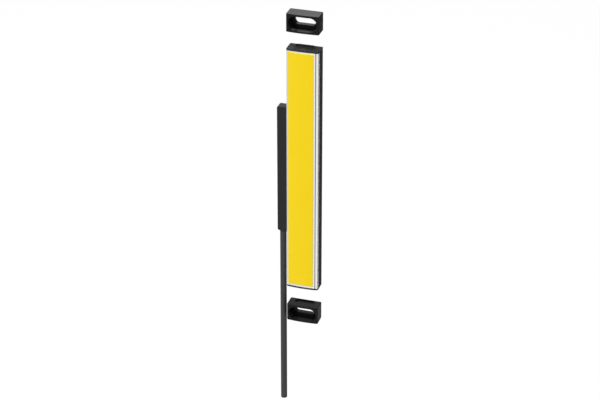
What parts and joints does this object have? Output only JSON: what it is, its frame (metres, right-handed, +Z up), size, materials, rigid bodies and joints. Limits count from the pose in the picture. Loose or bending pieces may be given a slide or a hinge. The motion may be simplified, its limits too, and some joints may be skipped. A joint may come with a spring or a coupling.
{
  "type": "safety light curtain",
  "caption": "Slim upright light curtain stick with a dark side window, a yellow front, a plug module with hanging cable, and slotted end brackets drawn off its ends.",
  "frame": {"origin": "middle of the housing's flat rear face, which lies on the machine", "axes": "+X along the wide face towards the light window, -Y out of the yellow front face, +Z up along the stick"},
  "size_m": [0.0434, 0.015, 0.4359],
  "materials": {
    "satin_aluminium": "fine satin, clear anodised, drawn along its length",
    "yellow_film": "semi-gloss printed film",
    "dark_window": "polished dark acrylic",
    "seal_rubber": "matt",
    "black_plastic": "fine spark-eroded grain",
    "module_plastic": "fine spark-eroded grain",
    "bracket_plastic": "fine spark-eroded grain",
    "black_steel": "blackened steel",
    "clear_plastic": "clear, polished",
    "circuit_board": "solder mask over glass laminate",
    "component_black": "moulded epoxy",
    "component_white": "moulded",
    "capacitor_sleeve": "shrunk sleeve",
    "lamp_plastic": "diffusing",
    "contact_brass": "plated",
    "core_insulation": "extruded insulation",
    "bush_rubber": "moulded, matt",
    "cable_jacket": "extruded, dull"
  },
  "bodies": {
    "root": {"housing_profile": "satin_aluminium", "front_film": "yellow_film", "light_window": "dark_window", "window_seal": "seal_rubber", "upper_end_cap": "black_plastic", "lower_end_cap": "black_plastic", "upper_cap_gasket": "seal_rubber", "lower_cap_gasket": "seal_rubber", "end_cap_screws": "black_steel", "lens_carrier": "black_plastic", "lens_strip": "clear_plastic", "optics_board": "circuit_board", "emitter_diodes": "clear_plastic", "receiver_diodes": "component_black", "status_lamps": "lamp_plastic", "status_light_guide": "clear_plastic", "control_board": "circuit_board", "board_links": "component_black", "processors": "component_black", "output_transistors": "component_black", "capacitors": "capacitor_sleeve", "contact_socket": "component_black", "socket_pins": "contact_brass", "contact_block": "component_black", "plug_contacts": "contact_brass", "plug_board": "circuit_board", "wire_block": "component_white", "cable_cores": "core_insulation", "plug_shell": "module_plastic", "plug_base": "module_plastic", "plug_seal": "seal_rubber", "plug_screws": "black_steel", "cable_bush": "bush_rubber", "cable": "cable_jacket", "upper_bracket": "bracket_plastic", "lower_bracket": "bracket_plastic"}
  },
  "joints": []
}
